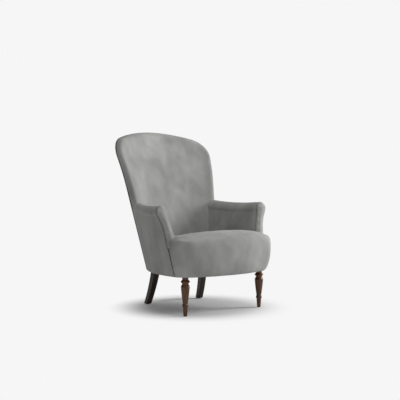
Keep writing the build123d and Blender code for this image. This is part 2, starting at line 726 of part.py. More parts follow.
with BuildPart() as arm_post:
    foot_x = FRONT_CORNER_X - rail_set
    head_x = guide_x(face_y(ARM_RAIL_Z) + ARM_POST_D / 2) - RAIL_SET
    for x, z in ((foot_x, RAIL_TOP), (head_x, ARM_RAIL_Z)):
        with BuildSketch(Plane.XY.offset(z)):
            with Locations((x, face_y(z) + SOFT_GAP * 1.1 + ARM_POST_D / 2)):
                Rectangle(ARM_POST_W, ARM_POST_D)
    loft()

tack_x = -INNER_SET + ARM_PAD_T + INNER_LEAN * (ARM_TACK_Z + ARM_TACK_H - SEAT_EDGE_Z - 15)
with BuildPart() as arm_tack_rail:
    add(band_at(tack_x + SOFT_GAP, ARM_TACK_W, ARM_TACK_Z, ARM_TACK_H))
    split(bisect_by=ARM_FRONT.offset(-ARM_POST_D / 2), keep=Keep.BOTTOM)
    add(arm_post.part, mode=Mode.SUBTRACT)
    add(behind_webbing, mode=Mode.SUBTRACT)

PAD_FOOT_Z = 320.0        # the arm padding goes down beside the seat to here
with BuildPart() as arm_foam:
    add(arm_loft(COVER_T + SOFT_GAP, 0, PAD_FOOT_Z))
    split(bisect_by=arm_front_in, keep=Keep.BOTTOM)
    add(arm_rail.part, mode=Mode.SUBTRACT)
    add(arm_post.part, mode=Mode.SUBTRACT)
    add(behind_webbing, mode=Mode.SUBTRACT)

with BuildPart() as inside_arm_cover:
    add(arm_loft(0, 0, PAD_FOOT_Z))
    add(arm_loft(COVER_T, POST_W, PAD_FOOT_Z - POST_W), mode=Mode.SUBTRACT)
    split(bisect_by=arm_front_in, keep=Keep.BOTTOM)
    add(behind_back, mode=Mode.SUBTRACT)
    for timber in (back_posts["right"], back_tack_rail.part, back_webbing.part):
        add(timber, mode=Mode.SUBTRACT)
    add(inside_arm_cover.solids().sort_by(SortBy.VOLUME)[-1], mode=Mode.REPLACE)

# The outside arm is a taut panel from the roll's tuck down to the hem.
PANEL_LEVELS = (HEM_Z, 300, 380, 446, 500, 566)


def panel_sketch(z, inset):
    """Plan of the outside arm at height z: its front point, its bow and the rear corner."""
    front = (panel_x(z) - inset, face_y(z) - RAIL_SET)
    rear = (side_x(z) - inset, corner_y(z) + SOFT_GAP)
    bow = SIDE_BOW * (1 - 0.75 * (z - HEM_Z) / (ARM_RAIL_Z - HEM_Z))
    middle = ((front[0] + rear[0]) / 2 + bow, (front[1] + rear[1]) / 2 + bow / 4)
    return front, middle, rear


with BuildPart() as outside_arm_cover:
    for z in PANEL_LEVELS:
        outer = panel_sketch(z, 0)
        inner = panel_sketch(z, COVER_T)
        with BuildSketch(Plane.XY.offset(z)):
            with BuildLine():
                skin = ThreePointArc(*outer)
                back_of_skin = ThreePointArc(*reversed(inner))
                Line(skin @ 1, back_of_skin @ 0)
                Line(back_of_skin @ 1, skin @ 0)
            make_face()
    loft()
    split(bisect_by=arm_front_in, keep=Keep.BOTTOM)
    add(arm_loft(-SOFT_GAP, 0, PAD_FOOT_Z), mode=Mode.SUBTRACT)
    add(behind_back, mode=Mode.SUBTRACT)
    add(outside_arm_cover.solids().sort_by(SortBy.VOLUME)[-1], mode=Mode.REPLACE)

with BuildPart() as arm_facing:
    for y in (-330, -290, -250, -210, -170):
        x, top, radius, shoulder_z = arm_section(y)
        centre_z = top - radius
        fall_z, foot_z = SEAT_EDGE_Z + 60, SEAT_EDGE_Z - 30
        tuck = (x + radius * cos(0.61), centre_z - radius * sin(0.61))
        with BuildSketch(Plane.XZ.offset(-y)):
            with BuildLine():
                Line((inner_x(y, foot_z), foot_z), (inner_x(y, shoulder_z), shoulder_z))
                ThreePointArc((inner_x(y, shoulder_z), shoulder_z),
                              (x - 0.76 * radius, centre_z + 0.62 * radius), (x, top))
                ThreePointArc((x, top), (x + radius * cos(0.48), centre_z + radius * sin(0.48)), tuck)
                ThreePointArc(tuck, (panel_x(fall_z), fall_z), (panel_x(SEAT_EDGE_Z), SEAT_EDGE_Z))
                Polyline((panel_x(SEAT_EDGE_Z), SEAT_EDGE_Z), (panel_x(SEAT_EDGE_Z) - 4, foot_z),
                         (inner_x(y, foot_z), foot_z))
            make_face()
    loft()
    split(bisect_by=ARM_FRONT, keep=Keep.TOP)
    split(bisect_by=ARM_FRONT.offset(FACING_T), keep=Keep.BOTTOM)
    front_edges = arm_facing.edges().filter_by(
        lambda e: abs(ARM_FRONT.to_local_coords(e.center()).Z - FACING_T) < 0.5
        and e.center().Z > 405)
    fillet(front_edges, FACING_ROUND)
    add(under_seat, mode=Mode.SUBTRACT)

arm_pieces = (("arm_rail", arm_rail), ("arm_post", arm_post), ("arm_tack_rail", arm_tack_rail),
              ("arm_foam", arm_foam), ("inside_arm_cover", inside_arm_cover),
              ("outside_arm_cover", outside_arm_cover), ("arm_facing", arm_facing))
for label, piece in arm_pieces:
    piece.part.label = "right_" + label
    export_step(piece.part, "parts/right_" + label + ".step")
    with BuildPart() as mirrored:
        mirror(piece.part, about=Plane.YZ)
    mirrored.part.label = "left_" + label
    export_step(mirrored.part, "parts/left_" + label + ".step")

# ---------------------------------------------------------------- legs and their fixings
pin_hole = GLIDE_PIN_R + BOLT_CLEAR
for x, name in ((-FRONT_LEG_X, "left"), (FRONT_LEG_X, "right")):
    spindle = Axis((x, FRONT_LEG_Y, 0), (0, 0, 1))
    with BuildPart() as front_leg:
        with BuildSketch(Plane(origin=(x, FRONT_LEG_Y, 0), x_dir=(1, 0, 0), z_dir=(0, -1, 0))):
            with BuildLine():
                low = (LEG_ANKLE_R, LEG_COLLAR_Z - LEG_COLLAR_HALF)
                high = (LEG_ANKLE_R, LEG_COLLAR_Z + LEG_COLLAR_HALF)
                bulb = (LEG_BULB_R, LEG_BULB_Z)
                neck = (LEG_NECK_R, LEG_NECK_Z)
                ring_low = (LEG_NECK_R, LEG_RING_Z - LEG_RING_HALF)
                ring = (LEG_RING_R, LEG_RING_Z)
                ring_high = (LEG_TOP_R, LEG_RING_Z + LEG_RING_HALF)
                swell = ((LEG_ANKLE_R + LEG_BULB_R) / 2 + 0.8, (high[1] + bulb[1]) / 2)
                shoulder = (LEG_NECK_R + 0.72 * (LEG_BULB_R - LEG_NECK_R),
                            LEG_BULB_Z + 0.62 * (LEG_NECK_Z - LEG_BULB_Z))
                Polyline((0, GLIDE_T), (LEG_TOE_R, GLIDE_T), low)
                ThreePointArc(low, (LEG_COLLAR_R, LEG_COLLAR_Z), high)
                ThreePointArc(high, swell, bulb)
                ThreePointArc(bulb, shoulder, neck)
                Polyline(neck, ring_low, ring, ring_high)
                Polyline(ring_high, (LEG_TOP_R, BASE_Z), (0, BASE_Z), (0, GLIDE_T))
            make_face()
        revolve(axis=spindle)
        with BuildSketch(Plane(origin=(x, FRONT_LEG_Y, BASE_Z - BOLT_IN_LEG))):
            Circle(BOLT_R + BOLT_CLEAR)
        extrude(amount=BOLT_IN_LEG, mode=Mode.SUBTRACT)
        with BuildSketch(Plane(origin=(x, FRONT_LEG_Y, GLIDE_T))):
            Circle(pin_hole)
        extrude(amount=GLIDE_PIN_L, mode=Mode.SUBTRACT)
    front_leg.part.label = name + "_front_leg"
    export_step(front_leg.part, "parts/" + name + "_front_leg.step")

for side, name in ((-1, "left"), (1, "right")):
    with BuildPart() as back_leg:
        for step in range(6):
            rise = step / 5
            z = GLIDE_T + rise * (BASE_Z - GLIDE_T)
            x = side * (BACK_FOOT_X + rise * (BACK_LEG_X - BACK_FOOT_X))
            y = BACK_FOOT_Y + rise * (BACK_LEG_Y - BACK_FOOT_Y)
            y -= 4 * BACK_LEG_HOLLOW * rise * (1 - rise)
            width = BACK_LEG_FOOT + rise * (BACK_LEG_TOP - BACK_LEG_FOOT)
            with BuildSketch(Plane(origin=(x, y, z))):
                RectangleRounded(width, width, 3)
        loft()
        with BuildSketch(Plane(origin=(side * BACK_LEG_X, BACK_LEG_Y, BASE_Z - BOLT_IN_LEG))):
            Circle(BOLT_R + BOLT_CLEAR)
        extrude(amount=BOLT_IN_LEG, mode=Mode.SUBTRACT)
        with BuildSketch(Plane(origin=(side * BACK_FOOT_X, BACK_FOOT_Y, GLIDE_T))):
            Circle(pin_hole)
        extrude(amount=GLIDE_PIN_L, mode=Mode.SUBTRACT)
    back_leg.part.label = name + "_back_leg"
    export_step(back_leg.part, "parts/" + name + "_back_leg.step")

feet = legs[:2] + ((BACK_FOOT_X, BACK_FOOT_Y), (-BACK_FOOT_X, BACK_FOOT_Y))
with BuildPart() as floor_glides:
    with BuildSketch():
        with Locations(*feet):
            Circle(GLIDE_R)
    extrude(amount=GLIDE_T)
    with BuildSketch():
        with Locations(*feet):
            Circle(GLIDE_PIN_R)
    extrude(amount=GLIDE_T + GLIDE_PIN_L - BOLT_CLEAR)
floor_glides.part.label = "floor_glides"
export_step(floor_glides.part, "parts/floor_glides.step")

bolt_length = BOLT_IN_LEG + INSERT_L - 2 * BOLT_CLEAR
with BuildPart() as leg_bolts:
    add(pegs([(x, y, BASE_Z - BOLT_IN_LEG + BOLT_CLEAR) for x, y in legs], (0, 0, 1), BOLT_R,
             bolt_length))
leg_bolts.part.label = "leg_bolts"
export_step(leg_bolts.part, "parts/leg_bolts.step")

with BuildPart() as leg_inserts:
    add(pegs([(x, y, BASE_Z) for x, y in legs], (0, 0, 1), INSERT_R, INSERT_L))
    add(pegs([(x, y, BASE_Z) for x, y in legs], (0, 0, 1), INSERT_FLANGE_R, INSERT_FLANGE_T))
    add(pegs([(x, y, BASE_Z) for x, y in legs], (0, 0, 1), BOLT_R + BOLT_CLEAR, INSERT_L),
        mode=Mode.SUBTRACT)
leg_inserts.part.label = "leg_inserts"
export_step(leg_inserts.part, "parts/leg_inserts.step")
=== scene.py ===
"""Fireside chair, dressed for a plain studio.

Metres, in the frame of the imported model: +Z is up, the chair faces -Y, and right is +X.
The timber, springs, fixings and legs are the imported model's own pieces with finished materials.
Every upholstered piece is a mesh made here from the same lines as the solid that it replaces.
"""
from math import atan, atan2, cos, pi, sin

import bmesh
import bpy
import numpy as np
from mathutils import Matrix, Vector


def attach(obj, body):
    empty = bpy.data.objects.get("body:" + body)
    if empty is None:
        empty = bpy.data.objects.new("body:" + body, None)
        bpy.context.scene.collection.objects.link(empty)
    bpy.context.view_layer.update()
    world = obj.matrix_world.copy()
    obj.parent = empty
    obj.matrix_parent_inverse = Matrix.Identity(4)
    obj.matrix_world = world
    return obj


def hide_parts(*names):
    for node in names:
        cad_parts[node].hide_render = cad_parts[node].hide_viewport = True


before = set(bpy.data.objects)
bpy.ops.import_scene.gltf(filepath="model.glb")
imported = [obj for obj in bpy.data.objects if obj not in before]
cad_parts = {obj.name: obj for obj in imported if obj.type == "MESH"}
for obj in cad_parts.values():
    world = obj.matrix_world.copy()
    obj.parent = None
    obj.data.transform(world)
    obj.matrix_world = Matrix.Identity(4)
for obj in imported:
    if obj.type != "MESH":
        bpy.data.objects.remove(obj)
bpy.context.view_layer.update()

# ======================================================================= timber and springs
# Inside the covers: a planed beech frame with dowelled joints, zigzag springs in zinc clips,
# and black felt.  None of it shows in use, but it is there when the dust cover comes off.
GRAIN_LENGTH = 0.16       # a figure in the wood runs this far
GRAIN_WIDTH = 0.006


def colour(hex_code):
    """Linear colour of an sRGB hex code."""
    parts = [int(hex_code[i:i + 2], 16) / 255 for i in (0, 2, 4)]
    return [p / 12.92 if p <= 0.04045 else ((p + 0.055) / 1.055) ** 2.4 for p in parts] + [1.0]


def add_node(tree, kind, settings=None, **sockets):
    """A node of `kind`: settings are its properties, sockets its inputs as values or links."""
    node = tree.nodes.new(kind)
    for key, value in (settings or {}).items():
        setattr(node, key, value)
    for key, value in sockets.items():
        socket = node.inputs[key.replace("_", " ")]
        if isinstance(value, bpy.types.NodeSocket):
            tree.links.new(value, socket)
        else:
            socket.default_value = value
    return node


def new_material(name):
    """An empty material, its node tree, its surface shader and its object coordinates."""
    made = bpy.data.materials.new(name)
    made.use_nodes = True
    tree = made.node_tree
    tree.nodes.clear()
    shader = add_node(tree, "ShaderNodeBsdfPrincipled")
    add_node(tree, "ShaderNodeOutputMaterial", Surface=shader.outputs[0])
    place = add_node(tree, "ShaderNodeTexCoord").outputs["Object"]
    return made, tree, shader, place


def ramp(tree, factor, low, high, start=0.35, end=0.65):
    """Colour that goes from low to high as factor goes from start to end."""
    node = add_node(tree, "ShaderNodeValToRGB", Fac=factor)
    node.color_ramp.elements[0].position = start
    node.color_ramp.elements[1].position = end
    node.color_ramp.elements[0].color = low
    node.color_ramp.elements[1].color = high
    return node.outputs["Color"]


def wood_material(name, light, dark, roughness, coat, along):
    """Wood with its grain drawn out along one axis, under a lacquer of the given weight."""
    made, tree, shader, place = new_material(name)
    scale = [1 / GRAIN_WIDTH] * 3
    scale[along] = 1 / GRAIN_LENGTH
    turned = add_node(tree, "ShaderNodeMapping", Vector=place, Scale=scale)
    figure = add_node(tree, "ShaderNodeTexNoise", Vector=turned.outputs[0], Scale=1.0, Detail=5.0,
                      Roughness=0.6, Distortion=0.8)
    pores = add_node(tree, "ShaderNodeTexNoise", Vector=turned.outputs[0], Scale=6.0, Detail=2.0)
    tone = ramp(tree, figure.outputs[0], colour(dark), colour(light), 0.3, 0.72)
    relief = add_node(tree, "ShaderNodeBump", Strength=0.15, Distance=0.0004,
                      Height=pores.outputs[0])
    tree.links.new(tone, shader.inputs["Base Color"])
    tree.links.new(relief.outputs[0], shader.inputs["Normal"])
    shader.inputs["Roughness"].default_value = roughness
    shader.inputs["Coat Weight"].default_value = coat
    shader.inputs["Coat Roughness"].default_value = 0.16
    shader.inputs["Specular IOR Level"].default_value = 0.25
    return made


def metal_material(name, tone, roughness):
    """Bare or plated steel with fine scratches in its gloss."""
    made, tree, shader, place = new_material(name)
    worn = add_node(tree, "ShaderNodeTexNoise", Vector=place, Scale=420.0, Detail=3.0)
    gloss = add_node(tree, "ShaderNodeMapRange", Value=worn.outputs[0], To_Min=roughness - 0.08,
                     To_Max=roughness + 0.12)
    tree.links.new(gloss.outputs[0], shader.inputs["Roughness"])
    shader.inputs["Base Color"].default_value = colour(tone)
    shader.inputs["Metallic"].default_value = 1.0
    return made


def fibre_material(name, light, dark, size):
    """Felted or foamed stuff: a dull two-tone speckle of the given size."""
    made, tree, shader, place = new_material(name)
    speck = add_node(tree, "ShaderNodeTexNoise", Vector=place, Scale=1 / size, Detail=4.0)
    tone = ramp(tree, speck.outputs[0], colour(dark), colour(light))
    relief = add_node(tree, "ShaderNodeBump", Strength=0.4, Distance=0.0005,
                      Height=speck.outputs[0])
    tree.links.new(tone, shader.inputs["Base Color"])
    tree.links.new(relief.outputs[0], shader.inputs["Normal"])
    shader.inputs["Roughness"].default_value = 0.95
    return made


beech = wood_material("planed_beech", "C9A578", "A9814F", 0.6, 0.0, 0)
spring_steel = metal_material("oiled_spring_steel", "5A5A5C", 0.35)
zinc = metal_material("zinc_plate", "A9ABAE", 0.42)
felt = fibre_material("black_felt", "232322", "111111", 0.0012)
webbing = fibre_material("elastic_webbing", "4A4A50", "2C2C31", 0.0016)
nylon = fibre_material("brown_nylon", "2C2420", "241D19", 0.0008)


def finish_nodes(material, *names):
    """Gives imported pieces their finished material."""
    for name in names:
        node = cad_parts[name]
        if not node.material_slots:
            node.data.materials.append(material)
        for place in node.material_slots:
            place.material = material


finish_nodes(beech, "crest_rail", "back_tack_rail", "front_rail", "back_rail", "frame_dowels",
             "front_corner_blocks", "back_corner_blocks")
for side in ("left_", "right_"):
    finish_nodes(beech, side + "back_post", side + "side_rail", side + "arm_rail",
                 side + "arm_post", side + "arm_tack_rail")
finish_nodes(spring_steel, "seat_springs")
finish_nodes(zinc, "spring_clips", "leg_bolts", "leg_inserts")
finish_nodes(felt, "spring_felt")
finish_nodes(webbing, "back_webbing")

# ======================================================================= seat
# One cover goes over the sprung, bow-fronted seat: up the swelling front band, over a soft
# edge and across the crown, and it is pulled down at both arm fronts.
BASE_Z = 0.218            # underside of the frame
HEM_Z = 0.217             # lower edge of the covers
SEAT_EDGE_Z = 0.430       # where the front band turns over into the seat
SEAT_CROWN = 0.028
FRONT_Y = -0.410          # front centre of the underside
FRONT_HALF = 0.240        # half-length of the bowed front
BOW_END_Y = -0.372        # y of the ends of the front bow
CORNER_X = 0.318          # half-width where the seat's band meets the arm
ARM_FRONT_Y = -0.208      # the line of the arm rolls starts here
SEAT_BULGE = 0.037        # the padded band swells past the underside by this
SEAT_SLOPE = 0.16         # the crown falls to the back by this share of its depth
SLOPE_Y = -0.300          # it slopes back from here
CROWN_FALL = 0.015        # and falls by this to the arms
CROWN_SOFT = 0.007        # extra rise in the middle of the seat
SEAT_REAR_Y = 0.125       # the seat goes under the inside back to here
SEAT_ROWS = 64
CORNER_POINTS = 21
BOW_POINTS = 61
SIDE_POINTS = 45


def face_y(z):
    """y of the leaning plane of the arm fronts."""
    return -0.250 + 0.2 * (z - SEAT_EDGE_Z)


def guide_x(y):
    """Half-distance between the middles of the two arm rolls."""
    d = y - ARM_FRONT_Y
    return 0.352 - 0.1375 * d - 0.26 * d * d


def inner_x(y, z):
    """Inside face of the arm."""
    return guide_x(y) - 0.071 + 0.28 * (z - SEAT_EDGE_Z - 0.015)


def panel_x(z):
    """Half-width of the outside arm at its front seam, flaring up to the roll."""
    rise = z - BASE_Z
    return CORNER_X + 0.135 * rise + 0.3 * np.maximum(0.0, rise - 0.150) ** 2


def arc3(a, b, c, n):
    """n points on the circular arc from a through b to c, in a plane."""
    a, b, c = (np.array(p, float) for p in (a, b, c))
    d = 2 * (a[0] * (b[1] - c[1]) + b[0] * (c[1] - a[1]) + c[0] * (a[1] - b[1]))
    if abs(d) < 1e-9:
        t = np.linspace(0, 1, n)[:, None]
        return a + (c - a) * t
    aa, bb, cc = a @ a, b @ b, c @ c
    centre = np.array([aa * (b[1] - c[1]) + bb * (c[1] - a[1]) + cc * (a[1] - b[1]),
                       aa * (c[0] - b[0]) + bb * (a[0] - c[0]) + cc * (b[0] - a[0])]) / d
    angles = [atan2(*(p - centre)[::-1]) for p in (a, b, c)]
    turn = (angles[2] - angles[0]) % (2 * pi)
    if (angles[1] - angles[0]) % (2 * pi) > turn:
        turn -= 2 * pi
    way = angles[0] + turn * np.linspace(0, 1, n)
    return centre + np.hypot(*(a - centre)) * np.stack([np.cos(way), np.sin(way)], 1)


def smooth_line(points, n):
    """n points on a smooth line through `points`: the Catmull-Rom spline, even in length."""
    p = np.array(points, float)
    p = np.vstack([2 * p[0] - p[1], p, 2 * p[-1] - p[-2]])
    t = np.linspace(0, 1, 24, endpoint=False)[:, None]
    runs = []
    for i in range(1, len(p) - 2):
        a, b, c, d = p[i - 1:i + 3]
        runs.append(0.5 * (2 * b + (c - a) * t + (2 * a - 5 * b + 4 * c - d) * t**2
                           + (3 * b - a - 3 * c + d) * t**3))
    fine = np.vstack(runs + [p[-2:-1]])
    far = np.concatenate([[0], np.cumsum(np.hypot(*np.diff(fine, axis=0).T))])
    even = np.linspace(0, far[-1], n)
    return np.stack([np.interp(even, far, fine[:, k]) for k in range(p.shape[1])], 1)


def coons(left, right, bottom, top):
    """Grid between four border lines: the two ruled surfaces less the one through the corners."""
    u = np.linspace(0, 1, len(bottom))[None, :, None]
    v = np.linspace(0, 1, len(left))[:, None, None]
    across = (1 - u) * left[:, None] + u * right[:, None]
    along = (1 - v) * bottom[None] + v * top[None]
    corners = ((1 - u) * (1 - v) * bottom[0] + u * (1 - v) * bottom[-1]
               + (1 - u) * v * top[0] + u * v * top[-1])
    return across + along - corners


def ripple(points, size, seed):
    """Gentle unevenness of hand-laid padding, -1 to 1: five sine waves of about `size`."""
    rng = np.random.default_rng(seed)
    total = np.zeros(points.shape[:-1])
    for _ in range(5):
        way = rng.normal(size=3)
        way *= 2 * pi / (size * rng.uniform(0.7, 1.6) * np.linalg.norm(way))
        total += np.sin(points @ way + rng.uniform(0, 2 * pi))
    return total / 5


def piece(name, grids, material, swell=0.0, seed=1, outward=None):
    """A smooth mesh from grids of points that share their borders, padded out by a gentle ripple.

    `outward` is a point well inside the piece, for turning the faces outwards."""
    verts, faces, start = [], [], 0
    for grid in grids:
        rows, cols = grid.shape[:2]
        index = start + np.arange(rows * cols).reshape(rows, cols)
        quads = np.stack([index[:-1, :-1], index[:-1, 1:], index[1:, 1:], index[1:, :-1]], -1)
        verts.append(grid.reshape(-1, 3))
        faces.append(quads.reshape(-1, 4))
        start += rows * cols
    mesh = bpy.data.meshes.new(name)
    mesh.from_pydata(np.vstack(verts).tolist(), [], np.vstack(faces).tolist())
    bm = bmesh.new()
    bm.from_mesh(mesh)
    bmesh.ops.remove_doubles(bm, verts=bm.verts, dist=0.0002)
    bmesh.ops.recalc_face_normals(bm, faces=bm.faces)
    if outward is not None:
        inside = Vector(outward)
        votes = sum((f.calc_center_median() - inside).dot(f.normal) * f.calc_area()
                    for f in bm.faces)
        if votes < 0:
            bmesh.ops.reverse_faces(bm, faces=bm.faces)
    bm.to_mesh(mesh)
    bm.free()
    if swell:
        count = len(mesh.vertices)
        spots, normals = np.empty(count * 3), np.empty(count * 3)
        mesh.vertices.foreach_get("co", spots)
        mesh.vertices.foreach_get("normal", normals)
        spots, normals = spots.reshape(-1, 3), normals.reshape(-1, 3)
        spots += normals * (swell * ripple(spots, 0.11, seed))[:, None]
        mesh.vertices.foreach_set("co", spots.ravel())
    mesh.shade_smooth()
    mesh.materials.append(material)
    made = bpy.data.objects.new(name, mesh)
    bpy.context.scene.collection.objects.link(made)
    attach(made, "root")
    return made


# A short-pile velvet in a warm mid grey.  The pile leans this way and that in soft patches,
# scatters light at its tips, and shows a fine grain close up.
VELVET_LIGHT = "919190"
VELVET_DARK = "7A7A78"
PATCH_SIZE = (0.10, 0.10, 0.17)   # the pile leans in upright patches of this size
PILE_SIZE = 0.0011        # width of a tuft


def velvet_material(name, light, dark):
    """Velvet: patches of leaning pile, a fine grain in colour and relief, and a soft sheen."""
    made, tree, shader, place = new_material(name)
    drawn_out = add_node(tree, "ShaderNodeMapping", Vector=place,
                         Scale=[1 / size for size in PATCH_SIZE])
    patches = add_node(tree, "ShaderNodeTexNoise", Vector=drawn_out.outputs[0], Scale=1.0,
                       Detail=3.0, Roughness=0.5, Distortion=0.3)
    grain = add_node(tree, "ShaderNodeTexNoise", Vector=place, Scale=1 / PILE_SIZE, Detail=2.0)
    tone = ramp(tree, patches.outputs[0], colour(dark), colour(light), 0.3, 0.7)
    speck = ramp(tree, grain.outputs[0], [0.80, 0.80, 0.80, 1], [1.0, 1.0, 1.0, 1], 0.25, 0.7)
    mixed = add_node(tree, "ShaderNodeMixRGB", {"blend_type": "MULTIPLY"}, Fac=1.0, Color1=tone,
                     Color2=speck)
    relief = add_node(tree, "ShaderNodeBump", Strength=0.35, Distance=0.0006,
                      Height=grain.outputs[0])
    slow = add_node(tree, "ShaderNodeBump", Strength=0.14, Distance=0.003,
                    Height=patches.outputs[0], Normal=relief.outputs[0])
    tree.links.new(mixed.outputs[0], shader.inputs["Base Color"])
    tree.links.new(slow.outputs[0], shader.inputs["Normal"])
    shader.inputs["Roughness"].default_value = 0.9
    shader.inputs["Specular IOR Level"].default_value = 0.2
    shader.inputs["Sheen Weight"].default_value = 0.12
    shader.inputs["Sheen Roughness"].default_value = 0.45
    shader.inputs["Sheen Tint"].default_value = colour("E6E6E4")
    return made


velvet = velvet_material("grey_velvet", VELVET_LIGHT, VELVET_DARK)


def seat_plan(swell):
    """Line round the seat at one level, from the left rear round the front to the right rear."""
    side = CORNER_X + 0.55 * swell
    turn_y = face_y(BASE_Z) - 1.1 * min(0.0, swell + 0.045)
    bow_end = np.array([FRONT_HALF + 0.5 * swell, BOW_END_Y - 0.95 * swell])
    bow = arc3(-bow_end * [1, -1], (0, FRONT_Y - swell), bow_end, BOW_POINTS)
    reach = bow_end[0]
    rise = bow_end[1] - FRONT_Y + swell
    heading = atan2(reach, (reach**2 - rise**2) / (2 * rise))
    tangent = np.array([cos(heading), sin(heading)])
    end = np.array([side, turn_y])
    normal = np.array([-tangent[1], tangent[0]])
    gap = end - bow_end
    turn_r = (gap @ gap) / (2 * gap @ normal)
    centre = bow_end + normal * turn_r
    first = atan2(*(bow_end - centre)[::-1])
    last = atan2(*(end - centre)[::-1])
    way = np.linspace(first, first + (last - first) % (2 * pi), CORNER_POINTS)
    corner = centre + turn_r * np.stack([np.cos(way), np.sin(way)], 1)
    straight = np.linspace(end, (side, SEAT_REAR_Y), SIDE_POINTS)
    half = np.vstack([bow[BOW_POINTS // 2:], corner[1:], straight[1:]])
    return np.vstack([half[::-1] * [-1, 1], half[1:]])


# Section of the band and the edge, as (swell, z) from the tacked hem to the crown.
edge, rise = SEAT_EDGE_Z, SEAT_EDGE_Z - HEM_Z
profile = smooth_line([
    (-0.25 * SEAT_BULGE, HEM_Z + 0.001),
    (0.00 * SEAT_BULGE, HEM_Z),
    (0.34 * SEAT_BULGE, HEM_Z + 0.06 * rise),
    (0.62 * SEAT_BULGE, HEM_Z + 0.17 * rise),
    (0.86 * SEAT_BULGE, HEM_Z + 0.34 * rise),
    (1.00 * SEAT_BULGE, HEM_Z + 0.58 * rise),
    (0.95 * SEAT_BULGE, HEM_Z + 0.82 * rise),
    (0.66 * SEAT_BULGE, edge - 0.26 * SEAT_CROWN),
    (0.16 * SEAT_BULGE, edge + 0.20 * SEAT_CROWN),
    (-0.55 * SEAT_BULGE, edge + 0.52 * SEAT_CROWN),
    (-1.35 * SEAT_BULGE, edge + 0.80 * SEAT_CROWN),
    (-2.20 * SEAT_BULGE, edge + 0.97 * SEAT_CROWN),
], SEAT_ROWS)
band = np.empty((SEAT_ROWS, len(seat_plan(0.0)), 3))
for row, (swell, z) in enumerate(profile):
    band[row, :, :2] = seat_plan(swell)
    band[row, :, 2] = z
# The cover is drawn in where it goes down between the arm front and the band.
at_arm = np.exp(-((np.abs(band[..., 1] - face_y(band[..., 2])) / 0.022) ** 2))
band[..., 0] -= np.sign(band[..., 0]) * 0.0035 * at_arm * (band[..., 2] > 0.24)
folds = np.sin(band[..., 1] * 2 * pi / 0.021) * np.exp(-((band[..., 1] + 0.292) / 0.03) ** 2)
band[..., 2] += 0.0011 * folds * np.exp(-((band[..., 2] - 0.435) / 0.02) ** 2)


def settle(points):
    """Lowers the crown towards the rear and the arms, and draws the sides in behind the arms.

    At the arm fronts the band is led into the seam with the outside arm."""
    x, y, z = points[..., 0], points[..., 1], points[..., 2].copy()
    share = np.clip((z - 0.400) / 0.050, 0, 1)
    share = share * share * (3 - 2 * share)
    fall = CROWN_FALL * np.clip((np.abs(x) - 0.10) / 0.18, 0, 1) ** 1.6
    points[..., 2] -= share * (SEAT_SLOPE * np.maximum(0, y - SLOPE_Y) + fall)
    near = np.clip((y - face_y(z) + 0.034) / 0.034, 0, 1) * np.clip((0.428 - z) / 0.024, 0, 1)
    x = x + np.sign(x) * near * near * (panel_x(z) - 0.0035 - np.abs(x)) * (np.abs(x) > 0.2)
    hidden = np.clip((y - face_y(z) - 0.004) / 0.020, 0, 1)
    wall = inner_x(y, z) + 0.012
    inside = np.minimum(np.abs(x), wall)
    points[..., 0] = np.sign(x) * (np.abs(x) + hidden * (inside - np.abs(x)))


rim = band[-1].copy()
corner_at = SIDE_POINTS - 1 + CORNER_POINTS // 2
front_edge = rim[corner_at:len(rim) - corner_at]
left_edge = rim[:corner_at + 1]
right_edge = rim[len(rim) - corner_at - 1:][::-1]
rear_edge = np.linspace(left_edge[0], right_edge[0], len(front_edge))
crown = coons(left_edge, right_edge, rear_edge, front_edge)
u = np.linspace(-1, 1, crown.shape[1])[None, :]
v = np.linspace(-1, 1, crown.shape[0])[:, None]
crown[..., 2] += CROWN_SOFT * ((1 - u**2) * (1 - v**2)) ** 2
settle(band)
settle(crown)
seat = piece("seat", [band, crown], velvet, swell=0.0009, seed=11, outward=(0, -0.15, 0.3))
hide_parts("seat_cover", "seat_foam")

# ======================================================================= inside back
# The hollow back is padded over webbing and rolls over its edge all the way round.  The cover
# ends in a seam at the rear, against the outside back.
BACK_TOP_Z = 1.023
BACK_HALF = 0.330
SHOULDER_Z = 0.886
SHOULDER_R = 0.105
BACK_FLARE = 0.124
BACK_BOW = 0.080
REAR_CORNER_Y = 0.084     # rear corners of the frame, at its underside
RIM_R = 0.026             # rounding of the rolled edge
SIDE_COUNT, SHOULDER_COUNT, CROWN_COUNT = 70, 21, 26


def side_x(z):
    """Half-width of the back at height z, below the shoulder."""
    tilt = atan(BACK_FLARE)
    touch_x = BACK_HALF - SHOULDER_R + SHOULDER_R * cos(tilt)
    return touch_x + BACK_FLARE * (z - SHOULDER_Z + SHOULDER_R * sin(tilt))


def corner_y(z):
    """y of the back's rear corner: a straight rake, then a sweep."""
    return REAR_CORNER_Y + 0.26 * (z - BASE_Z) + 0.6 * np.maximum(0.0, z - 0.700) ** 2


def mid_thickness(z):
    """Thickness of the back in its middle."""
    return 0.104 - 0.09 * (z - SEAT_EDGE_Z)


def bow_y(x, chord, bow):
    """Fall of a circular bow at x; the bow rises `bow` over the half-chord."""
    radius = (chord**2 + bow**2) / (2 * bow)
    return radius - np.sqrt(radius**2 - x**2)


def rear_y(x, z):
    """Outside surface of the back."""
    return corner_y(z) + BACK_BOW - bow_y(x, side_x(z), BACK_BOW)


def hollow_y(x, z):
    """Inside surface of the back, hollow from side to side."""
    depth = BACK_BOW + 0.060 - mid_thickness(z)
    return corner_y(z) + BACK_BOW - mid_thickness(z) - bow_y(x, side_x(z), depth)


